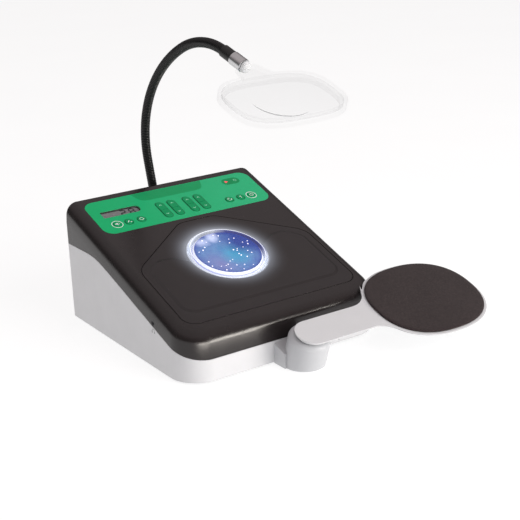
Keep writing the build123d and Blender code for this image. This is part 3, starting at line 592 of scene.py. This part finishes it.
def round_poly(pts, rs, seg=8):
    out = []
    n = len(pts)
    rs = rs if isinstance(rs, (list, tuple)) else [rs] * n
    for i in range(n):
        p, q, s = Vector(pts[i]), Vector(pts[i - 1]), Vector(pts[(i + 1) % n])
        u, w = (q - p).normalized(), (s - p).normalized()
        if rs[i] <= 0:
            out.append(tuple(p))
            continue
        ang = math.acos(max(-1, min(1, u.dot(w))))
        tl = rs[i] / math.tan(ang / 2)
        c = p + (u + w).normalized() * (rs[i] / math.sin(ang / 2))
        s0, s1 = p + u * tl - c, p + w * tl - c
        A0, A1 = math.atan2(s0.y, s0.x), math.atan2(s1.y, s1.x)
        d = (A1 - A0 + math.pi) % (2 * math.pi) - math.pi
        out += [(c.x + rs[i] * math.cos(A0 + d * j / seg), c.y + rs[i] * math.sin(A0 + d * j / seg)) for j in range(seg + 1)]
    return out


# ------------------------------------------------------------------ CAD nodes
dress("base_shell", M["shell"], 0.35)
dress("base_plate", M["steel_black"], 0.2)
dress("rubber_feet", M["rubber"], 0.2)
dress("housing_screws", M["screw"])
dress("inner_screws", M["screw"])
dress("top_cover", M["cover"], 0.25)
dress("control_panel", M["panel"], 0.06)
dress("display_window", M["window"])
dress("display_module", M["electronics"], 0.2)
dress("indicator_lens", M["indicator"], 0.06)
dress("keypad_board", M["pcb"])
dress("dome_switches", M["domes"])
dress("main_board", M["pcb"], 0.1)
dress("buzzer", M["electronics"], 0.3)
dress("chassis_plate", M["sensor"], 0.2)
dress("force_sensor", M["sensor"], 0.3)
dress("led_board", M["led_pcb"])
dress("pad_cushions", M["cushion"], 0.5)
dress("headphone_jack", M["electronics"], 0.1)
dress("power_inlet", M["socket"], 0.25)
dress("switch_housing", M["socket"], 0.3)
dress("power_rocker", M["socket"], 0.3)
dress("gooseneck_socket", M["socket"], 0.5)
dress("socket_screws", M["screw"])
dress("pivot_bracket", M["bracket"], 0.7, segments=3)
dress("bracket_screws", M["screw"])
dress("pivot_bush", M["brass"])
dress("pivot_pin", M["pin"])
dress("pressure_pad", M["pad"], 0.5, angle=15, segments=3, group=weld_12)
dress("stage_diffuser", M["diffuser"])
dress("light_ring", M["ring"], 0.15)
dress("dish_base", M["dish"], 0.25)
dress("dish_lid", M["lid"], 0.3)
for k in ("sound", "marker", "average", "memory", "reset", "power"):
    dress(f"key_{k}", M["key"], 0.08)
for k in "abcd":
    for d in ("up", "down"):
        dress(f"key_{k}_{d}", M["key"], 0.08)
dress("arm_plate", M["arm"], 1.15, segments=4)
dress("hose_sleeve", M["sleeve"], 0.4)
dress("lens_ferrule", M["ferrule"], 0.25)
dress("magnifier_frame", M["acrylic"], 1.1, segments=4)
dress("magnifier_lens", M["lens"], 0.5)
for n in ("dish_base", "dish_lid", "magnifier_frame", "magnifier_lens", "display_window"):
    nodes[n].visible_shadow = False

# ------------------------------------------------------------------ panel printing
# darker banner along the top edge, left without lettering
banner = [(-47, 122.0), (-43.5, 113.0)] + [(-43.5 + 4.5 * (1 - math.cos(u)), 113.0 - 6.6 * math.sin(u)) for u in (0.35, 0.7, 1.05, 1.3, 1.5)]
half = [(-47.0, 122.0), (-45.6, 117.5), (-43.8, 112.6), (-42.2, 109.6), (-39.6, 107.0), (-36.0, 105.6), (-31.0, 105.1)]
banner = half + [(-x, v) for x, v in half[::-1]]
prisms("panel_banner", [banner[::-1]], 0.1, 0.14, "housing", M["banner"])

for k, (x, v) in {"sound": (-90.3, 73), "power": (90.3, 73)}.items():
    prisms(f"panel_ring_{k}", [(circle(x, v, 6.75, 48), circle(x, v, 6.0, 48))], 0.1, 0.15, "housing", M["white_ink"])
rims = []
for x in (-75.3, -59.4, 59.4, 75.3):
    rims.append((circle(x, 73, 5.75, 44), circle(x, 73, 5.05, 44)))


def slot_loop(x, v0, v1, r, n=16):
    return circle(x, v1, r, n, 0, math.pi) + circle(x, v0, r, n, math.pi, 2 * math.pi)


for x in (-25.5, -10.3, 10.3, 25.5):
    rims.append((slot_loop(x, 70, 91.5, 5.75), slot_loop(x, 70, 91.5, 5.05)))
prisms("panel_key_rims", rims, 0.1, 0.13, "housing", M["key_rim"])

# key symbols
def key_mark(key, outlines, mat="white_ink"):
    prisms(f"{key}_symbol", outlines, 0.75, 0.79, key, M[mat])


x = -90.3
key_mark("key_sound", [[(x - 2.6, 72.2), (x - 1.2, 72.2), (x + 0.6, 70.6), (x + 0.6, 75.4), (x - 1.2, 73.8), (x - 2.6, 73.8)],
                       arc_band(x + 0.6, 73, 1.7, 0.5, -50, 50, 10)])
x = -75.3
key_mark("key_marker", [[(x - 2.2, 71.0), (x + 0.9, 74.1), (x + 0.1, 74.9), (x - 3.0 + 0.9, 72.0)], circle(x + 1.9, 71.4, 0.75, 16)])
x = -59.4
key_mark("key_average", [arc_band(x, 73, 2.2, 0.55, 20, 320, 26), [(x + 1.0, 71.6), (x + 3.2, 71.9), (x + 1.9, 73.4)]])
x = 59.4
key_mark("key_memory", [arc_band(x, 73, 2.2, 0.55, 60, 340, 26), [(x + 1.2, 72.3), (x + 3.1, 71.5), (x + 2.9, 73.8)]])
x = 75.3
key_mark("key_reset", [bar(x + 0.2, 70.8, x + 0.2, 75.2, 0.75), [(x + 0.5, 75.2), (x - 1.5, 73.9), (x - 1.2, 73.5), (x + 0.4, 74.4)]])
x = 90.3
key_mark("key_power", [arc_band(x, 72.8, 2.3, 0.55, 125, 415, 28), bar(x, 73.2, x, 76.0, 0.6)])
for k, x in zip("abcd", (-25.5, -10.3, 10.3, 25.5)):
    key_mark(f"key_{k}_up", [[(x - 1.9, 89.2), (x, 91.4), (x + 1.9, 89.2), (x + 1.2, 88.8), (x, 90.2), (x - 1.2, 88.8)]], "pale_ink")
    key_mark(f"key_{k}_down", [[(x - 1.9, 72.6), (x - 1.2, 73.0), (x, 71.6), (x + 1.2, 73.0), (x + 1.9, 72.6), (x, 70.4)]], "pale_ink")

# indicator: red pointer at the left, an open ring at the right
prisms("indicator_pointer", [[(77.0 - 2.0, 106.3), (77.0 + 2.4, 108.5), (77.0 - 2.0, 110.7)]], 0.14, 0.2, "housing", M["red"])
prisms("indicator_ring", [(circle(89.2, 108.6, 2.1, 30), circle(89.2, 108.6, 1.6, 30))], 0.14, 0.18, "housing", M["pale_ink"])

# liquid-crystal display: backing and seven-segment digits
prisms("display_backing", [round_poly([(-98.2, 88.8), (-50.3, 88.8), (-50.3, 101.2), (-98.2, 101.2)], [1.8, 5.6, 5.6, 1.8])], -3.09, -2.75, "housing", M["lcd"])
segs = []


def digit(x0, v0, w, h, on):
    tck = 1.8
    g = 0.0
    xs, vs = (x0, x0 + w), (v0, v0 + h / 2, v0 + h)
    def hseg(v):
        return [(x0 + g + 0.3, v), (x0 + g + 0.8, v + tck / 2), (x0 + w - g - 0.8, v + tck / 2), (x0 + w - g - 0.3, v), (x0 + w - g - 0.8, v - tck / 2), (x0 + g + 0.8, v - tck / 2)]
    def vseg(x, va, vb):
        return [(x, va + g + 0.3), (x + tck / 2, va + g + 0.8), (x + tck / 2, vb - g - 0.8), (x, vb - g - 0.3), (x - tck / 2, vb - g - 0.8), (x - tck / 2, va + g + 0.8)]
    table = {"a": hseg(vs[2]), "g": hseg(vs[1]), "d": hseg(vs[0]), "f": vseg(xs[0], vs[1], vs[2]), "b": vseg(xs[1], vs[1], vs[2]),
             "e": vseg(xs[0], vs[0], vs[1]), "c": vseg(xs[1], vs[0], vs[1])}
    return [table[k] for k in on]


segs += digit(-73.6, 90.3, 5.9, 9.7, "abged")
segs += digit(-62.4, 90.3, 5.9, 9.7, "abcdefg")
prisms("display_digits", segs, -2.745, -2.64, "housing", M["lcd_ink"])

# ------------------------------------------------------------------ side: a small headphones sign under the jack
def left(y, z, n):
    return W((-126.5 - n, y, z))


def side_plates(name, outlines, mat):
    prisms(name, outlines, 0.0, 0.05, "housing", mat, place=lambda y, z, n: left(y, z, n))


hy, hz = -66.5, 44.2
side_plates("jack_sign", [arc_band(hy, hz, 2.3, 0.5, 0, 180, 20), round_poly([(hy - 3.1, hz - 2.4), (hy - 1.8, hz - 2.4), (hy - 1.8, hz + 0.1), (hy - 3.1, hz + 0.1)], 0.4, 4),
                          round_poly([(hy + 1.8, hz - 2.4), (hy + 3.1, hz - 2.4), (hy + 3.1, hz + 0.1), (hy + 1.8, hz + 0.1)], 0.4, 4)], M["grey_ink"])

# agar: flat gel with a paler collar towards the wall of the dish, a painted glow of the lit wall, with painted blue at
# the back right
t = Tree("gel_collar")
f = t.noise(120, 3)
line = t.ramp(t.remap(t.distance(D(-2.5, -21.5, 0)), 0.038, 0.042, 0, 1), [(0.0, 0.0), (0.3, 0.0), (0.40, 0.7), (0.52, 0.7), (0.64, 0.0), (1.0, 0.0)])
white = t.mix(line, t.mix(f, (0.80, 0.85, 1.0), (0.97, 0.98, 1.0)), (0.22, 0.26, 0.70))
lit = t.mix(line, t.mix(f, (0.55, 0.66, 1.0), (0.95, 0.97, 1.0)), (0.25, 0.28, 0.80))
t.link(t.mix(painted_far_blue(t), white, (0.06, 0.06, 0.33)), t.b.inputs["Base Color"])
t.link(t.mix(painted_far_blue(t), lit, (0.10, 0.10, 0.52)), t.b.inputs["Emission Color"])
t.b.inputs["Emission Strength"].default_value = 0.35
t.b.inputs["Roughness"].default_value = 0.25
M["collar"] = t.m
gel = prisms("agar_gel", [circle(-1.6, -20.6, 38.0, 110)], -4.45, 1.66, "dish", M["agar"])
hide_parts("agar_layer")
ring_out = circle(-2.5, -21.5, 41.9, 110)
ring_in_ = circle(-1.6, -20.6, 38.1, 110)
cv_, cf_ = [], []
nn_ = len(ring_out)
for loop, z in ((ring_in_, -4.4), (ring_out, -4.4), (circle(-2.5, -21.5, 41.7, 110), -3.4), (circle(-1.7, -20.7, 38.7, 110), 1.2), (ring_in_, 1.5)):
    cv_ += [D(x, v, z) for x, v in loop]
for j in range(5):
    a0, b0 = j * nn_, ((j + 1) % 5) * nn_
    cf_ += [[a0 + i, a0 + (i + 1) % nn_, b0 + (i + 1) % nn_, b0 + i] for i in range(nn_)]
new_mesh("gel_collar", cv_, cf_, "dish", M["collar"], sharp=50)
# thin glowing ring on the dish's edge: a painted highlight
prisms("dish_edge_line", [(circle(-2.5, -21.5, 42.75, 120), circle(-2.5, -21.5, 42.15, 120))], 3.5, 3.62, "dish", M["edge_line"])

# ------------------------------------------------------------------ colonies on the agar (own seeded scatter)
rnd = random.Random(41)
spots = []
while len(spots) < 36:
    rr, an = 35.5 * math.sqrt(rnd.random()), rnd.random() * 2 * math.pi
    x, v = rr * math.cos(an), rr * math.sin(an)
    if all((x - p[0]) ** 2 + (v - p[1]) ** 2 > 3.4 ** 2 for p in spots):
        spots.append((x, v, rnd.uniform(0.55, 0.95)))
verts, faces = [], []
for x, v, rad in spots:
    k = len(verts)
    rings = [(1.0, 0.0), (0.93, 0.22), (0.7, 0.42), (0.36, 0.52)]
    for s, h in rings:
        verts += [D(-2.5 + x + rad * s * math.cos(2 * math.pi * i / 14), -21.5 + v + rad * s * math.sin(2 * math.pi * i / 14), 1.64 + rad * h) for i in range(14)]
    for j in range(3):
        faces += [[k + j * 14 + i, k + j * 14 + (i + 1) % 14, k + (j + 1) * 14 + (i + 1) % 14, k + (j + 1) * 14 + i] for i in range(14)]
    faces.append([k + 42 + i for i in range(14)])
    faces.append([k + i for i in range(14)][::-1])
new_mesh("colonies", verts, faces, "dish", M["colony"], sharp=80)

# ------------------------------------------------------------------ gooseneck
HEAD = math.radians(10.5)
G0, GD = Vector((0, 147.0, 0)), Vector((math.sin(HEAD), -math.cos(HEAD), 0))
LEN = [56.148, 54.324, 57.677, 58.0, 43.491, 26.349]
CURV = [0.000746, 0.008121, 0.007563, 0.006932, 0.011795, 0.0136]
starts = [(4.274, 110.0, math.radians(-12.0375))]
for ln, kk in zip(LEN, CURV):
    s, z, ph = starts[-1]
    starts.append((s + (math.cos(ph) - math.cos(ph + kk * ln)) / kk, z + (math.sin(ph + kk * ln) - math.sin(ph)) / kk, ph + kk * ln))


def on_hose(i, q):
    """Point (mm, housing axes) and direction at distance q along section i; the last runs on straight."""
    s, z, ph = starts[i]
    ln, kk = LEN[i], CURV[i]
    over = max(0.0, q - ln) if i == 5 else 0.0
    q = min(q, ln) if i == 5 else q
    s2, z2, p2 = s + (math.cos(ph) - math.cos(ph + kk * q)) / kk, z + (math.sin(ph + kk * q) - math.sin(ph)) / kk, ph + kk * q
    s2, z2 = s2 + over * math.sin(p2), z2 + over * math.cos(p2)
    return G0 + GD * s2 + Vector((0, 0, z2)), (GD * math.sin(p2) + Vector((0, 0, math.cos(p2)))).normalized()


SIDE = GD.cross(Vector((0, 0, 1))).normalized()
total = [0.0]
for ln in LEN:
    total.append(total[-1] + ln)


def hose_at(u):
    for i in range(6):
        if u <= total[i + 1] or i == 5:
            return on_hose(i, u - total[i])


def ribbed(name, u0, u1, mat, cap0=False, cap1=False, pitch=2.05, r_hi=5.48, r_lo=4.95, seg=28):
    """Wound hose between distances u0 and u1: round ribs with narrow grooves."""
    verts, faces, n = [], [], 0
    first = math.floor(u0 / pitch)
    prof = [(0.0, 0.0), (0.10, 0.55), (0.24, 0.9), (0.42, 1.0), (0.6, 0.98), (0.78, 0.82), (0.92, 0.45)]
    rings = []
    k = first
    while k * pitch < u1 + pitch:
        for f, h in prof:
            u = (k + f) * pitch
            if u0 <= u <= u1:
                rings.append((u, r_lo + (r_hi - r_lo) * h))
        k += 1

    def rad(u):
        f = (u / pitch) % 1.0
        pts = prof + [(1.0, 0.0)]
        for (fa, ha), (fb, hb) in zip(pts, pts[1:]):
            if fa <= f <= fb:
                return r_lo + (r_hi - r_lo) * (ha + (hb - ha) * (f - fa) / (fb - fa))
        return r_lo
    if not rings or rings[0][0] > u0 + 0.02:
        rings.insert(0, (u0, rad(u0)))
    if rings[-1][0] < u1 - 0.02:
        rings.append((u1, rad(u1)))
    for u, rr in rings:
        rr *= 1 + 0.07 * min(max((u - 150) / 120, 0), 1)
        p, d = hose_at(u)
        o = d.cross(SIDE).normalized()
        verts += [W(p + (SIDE * math.cos(2 * math.pi * i / seg) + o * math.sin(2 * math.pi * i / seg)) * rr) for i in range(seg)]
    for j in range(len(rings) - 1):
        faces += [[j * seg + i, j * seg + (i + 1) % seg, (j + 1) * seg + (i + 1) % seg, (j + 1) * seg + i] for i in range(seg)]
    faces.append([i for i in range(seg)][::-1])
    faces.append([(len(rings) - 1) * seg + i for i in range(seg)])
    return new_mesh(name, verts, faces, None, mat, sharp=70)


mids = [total[i] + LEN[i] / 2 for i in range(6)]
for i in range(5):
    u0 = 8.0 if i == 0 else mids[i]
    u1 = total[6] + 1.0 if i == 4 else mids[i + 1]
    o = ribbed(f"hose_{i + 1}_ribbed", u0, u1, M["hose"])
    reach = 12.0 if i < 4 else 9.5
    A, B = hose_at(total[i + 1] - reach)[0], hose_at(total[i + 1] + reach)[0]
    tuple(W(A))
    tuple(W(B))
    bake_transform(o)
    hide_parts(f"hose_section_{i + 1}", f"hose_section_{i + 2}")


def lathe(name, profile, origin, axis, body, mat, seg=48, sharp=33):
    """Turned piece: closed profile of (radius, distance) round an axis, in mm."""
    d = Vector(axis).normalized()
    u = d.cross(SIDE if abs(d.dot(SIDE)) < 0.9 else Vector((0, 0, 1))).normalized()
    w = d.cross(u)
    verts, faces = [], []
    n = len(profile)
    for rr, h in profile:
        verts += [W(Vector(origin) + d * h + (u * math.cos(2 * math.pi * i / seg) + w * math.sin(2 * math.pi * i / seg)) * rr) for i in range(seg)]
    for j in range(n):
        k = (j + 1) % n
        faces += [[j * seg + i, j * seg + (i + 1) % seg, k * seg + (i + 1) % seg, k * seg + i] for i in range(seg)]
    return new_mesh(name, verts, faces, body, mat, sharp=sharp)


P0, D0 = on_hose(0, 0.0)
lathe("gooseneck_collar", [(2.0, 0.35), (7.2, 0.35), (7.8, 0.6), (8.0, 1.2), (8.0, 4.2), (7.5, 4.5), (7.5, 5.0), (8.0, 5.3), (8.0, 7.2), (7.7, 7.8), (6.2, 8.3), (5.0, 8.5), (2.0, 8.5)],
      P0, D0, "hose_1", M["sleeve"])
lathe("gooseneck_spigot", [(1.0, -20.9), (5.4, -20.9), (5.9, -20.4), (5.98, -10), (5.98, 0.2), (1.0, 0.2)], P0, D0, "hose_1", M["pin"])

# moulded hub of the magnifier's tab, seated against the ferrule
t = Tree("magnifier_hub")
f = t.noise(260, 3)
t.link(t.mix(f, (0.82, 0.83, 0.84), (0.94, 0.94, 0.95)), t.b.inputs["Base Color"])
t.link(t.remap(t.noise(420, 2), 0.3, 0.7, 0.45, 0.8), t.b.inputs["Alpha"])
t.b.inputs["Roughness"].default_value = 0.12
t.link(t.bump(f, 0.2, 0.0004), t.b.inputs["Normal"])
M["hub"] = t.m
PE, DE = on_hose(5, LEN[5])
lathe("magnifier_hub", [(0.6, 34.15), (5.6, 34.15), (6.5, 34.7), (6.9, 36.0), (6.6, 37.6), (5.6, 39.2), (4.2, 40.4), (2.2, 41.1), (0.6, 41.3)],
      PE, DE, "magnifier", M["hub"])
# edge of the round reading lens, moulded under the front of the magnifier
t = Tree("lens_edge")
f = t.noise(300, 2)
t.link(t.mix(f, (0.26, 0.27, 0.28), (0.38, 0.39, 0.40)), t.b.inputs["Base Color"])
t.link(t.remap(f, 0.3, 0.7, 0.35, 0.6), t.b.inputs["Alpha"])
t.b.inputs["Roughness"].default_value = 0.15
M["lens_edge"] = t.m


def head_pt(x, v, n):
    return W((34.6 + x, -83.7 + v * C - n * S, 269.8 + v * S + n * C))


verts, faces, steps, round_ = [], [], 44, 8
for i in range(steps + 1):
    f_ = i / steps
    an = math.radians(176 + 122 * f_)
    rad = 0.05 + 0.5 * math.sin(math.pi * f_) ** 0.8
    for j in range(round_):
        b_ = 2 * math.pi * j / round_
        rr = 33.3 + rad * math.cos(b_)
        verts.append(head_pt(-3.5 + rr * math.cos(an), -0.5 + rr * math.sin(an), -3.3 + rad * 0.9 * math.sin(b_)))
for i in range(steps):
    faces += [[i * round_ + j, i * round_ + (j + 1) % round_, (i + 1) * round_ + (j + 1) % round_, (i + 1) * round_ + j] for j in range(round_)]
faces.append(list(range(round_))[::-1])
faces.append([steps * round_ + j for j in range(round_)])
edge_piece = new_mesh("lens_edge", verts, faces, "magnifier", M["lens_edge"], sharp=80)
edge_piece.visible_shadow = False

# ------------------------------------------------------------------ wrist pad: thin fabric-covered cushion, crowned and tucked at its rim
AO = Vector(joint["wrist_rest_swivel"]["pos_m"]) * 1000 + SHIFT


def A(x, v, n):
    return W(AO + Vector((1, 0, 0)) * x + Vector((0, C, S)) * v + Vector((0, -S, C)) * n)


def super_pt(aa, bb, ee, th):
    c, s = math.cos(th), math.sin(th)
    return (aa * math.copysign(abs(c) ** (2 / ee), c), bb * math.copysign(abs(s) ** (2 / ee), s))


PU, PV, PA, PB, PE = 152.4, -2.2, 67.7, 57.3, 2.35
seg = 160
rings = [(-0.55, 0.03), (-0.12, 0.5), (0.0, 1.1), (-0.1, 1.75), (-0.45, 2.3), (-1.1, 2.65), (-2.2, 2.86), (-5.0, 3.0), (-12, 3.06), (-24, 3.12), (-38, 3.16), (-50, 3.18)]
verts, faces = [], []
for off, n in rings:
    for i in range(seg):
        th = 2 * math.pi * i / seg
        x, v = super_pt(PA + off, PB + off, PE, th)
        verts.append(A(PU + x, PV + v, n))
for j in range(len(rings) - 1):
    faces += [[j * seg + i, j * seg + (i + 1) % seg, (j + 1) * seg + (i + 1) % seg, (j + 1) * seg + i] for i in range(seg)]
faces.append([i for i in range(seg)][::-1])
k = len(verts)
verts.append(A(PU, PV, 3.2))
lastr = (len(rings) - 1) * seg
faces += [[lastr + i, lastr + (i + 1) % seg, k] for i in range(seg)]
pad = new_mesh("wrist_cushion", verts, faces, "wrist_rest", M["fabric"], sharp=60)
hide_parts("wrist_pad")

# ------------------------------------------------------------------ floor, light
bm = bmesh.new()
bmesh.ops.create_grid(bm, x_segments=8, y_segments=8, size=40.0)
me = bpy.data.meshes.new("floor")
bm.to_mesh(me)
bm.free()
floor = bpy.data.objects.new("floor", me)
floor.location = (0, 0, -0.0002)
bpy.context.scene.collection.objects.link(floor)
me.materials.append(M["floor"])

world = bpy.data.worlds.new("studio")
bpy.context.scene.world = world
world.use_nodes = True
wt = world.node_tree
bg = wt.nodes["Background"]
tc = wt.nodes.new("ShaderNodeTexCoord")
sp = wt.nodes.new("ShaderNodeSeparateXYZ")
wt.links.new(tc.outputs["Generated"], sp.inputs[0])
rp = wt.nodes.new("ShaderNodeValToRGB")
el = rp.color_ramp.elements
el[0].position, el[0].color = 0.0, (0.16, 0.16, 0.16, 1)
el[1].position, el[1].color = 1.0, (0.60, 0.56, 0.56, 1)
for p_, c_ in ((0.22, (0.12, 0.12, 0.12)), (0.42, (0.20, 0.19, 0.19)), (0.62, (0.44, 0.39, 0.395)), (0.78, (0.60, 0.54, 0.545))):
    x_ = el.new(p_)
    x_.color = (*c_, 1)
wt.links.new(sp.outputs["Z"], rp.inputs[0])
wt.links.new(rp.outputs[0], bg.inputs[0])
bg.inputs[1].default_value = 0.95


def area(name, loc, aim, size, power, color=(1, 1, 1), glossy=True):
    l = bpy.data.lights.new(name, "AREA")
    l.shape = "RECTANGLE"
    l.size, l.size_y = size
    l.energy = power
    l.color = color
    o = bpy.data.objects.new(name, l)
    o.location = loc
    o.rotation_euler = (Vector(aim) - Vector(loc)).to_track_quat("-Z", "Y").to_euler()
    o.visible_glossy = glossy
    bpy.context.scene.collection.objects.link(o)
    return o


area("key", (0.65, -1.8, 1.1), (0, 0, 0.05), (1.6, 1.6), 26, glossy=False)
area("top", (0.0, 0.3, 2.4), (0, 0, 0), (2.6, 2.0), 7, glossy=False)
area("left_fill", (-1.5, -1.3, 0.6), (0, -0.1, 0.05), (1.2, 1.2), 3.0, glossy=False)
area("front_softbox", (0.84, -1.50, 0.13), (0, -0.1, 0.08), (0.9, 0.24), 11.0, color=(1.0, 0.95, 0.88))
low = area("low_softbox", (0.60, -0.91, 0.004), (0.60, -0.91, 1.0), (1.8, 1.20), 122, color=(1.0, 0.94, 0.86))
low.rotation_euler = (math.pi, 0, 0)
lit_by_low = bpy.data.collections.new("lit_by_low_softbox")     # it only draws the highlight along the cover's front
for n in ("top_cover", "base_shell"):
    lit_by_low.objects.link(nodes[n])
low.light_linking.receiver_collection = lit_by_low    # lies in front of the counter, seen only in reflections
low.visible_camera = False
low.visible_diffuse = False
low.visible_transmission = False
